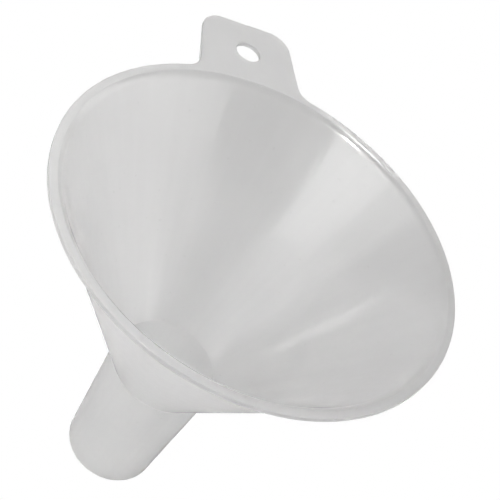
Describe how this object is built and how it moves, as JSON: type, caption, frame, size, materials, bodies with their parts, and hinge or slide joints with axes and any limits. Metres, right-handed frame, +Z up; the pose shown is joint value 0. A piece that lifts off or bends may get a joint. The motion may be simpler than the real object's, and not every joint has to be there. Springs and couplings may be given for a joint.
{
  "type": "canning funnel",
  "caption": "Translucent plastic canning funnel: a wide conical bowl with a flat rim lip, a hang tab with a round hole, and a slightly tapered straight-cut spout.",
  "frame": {"origin": "centre of the spout's open end face", "axes": "+Z up along the funnel's axis from the spout's end to the rim's face; +Y towards the hang tab; +X completes the right-handed frame"},
  "size_m": [0.133, 0.1606, 0.1325],
  "materials": {
    "natural_plastic": "natural translucent polypropylene, milky, with a soft moulded sheen"
  },
  "bodies": {
    "root": {"cone": "natural_plastic", "rim_lip": "natural_plastic", "hang_tab": "natural_plastic", "spout": "natural_plastic"}
  },
  "joints": []
}
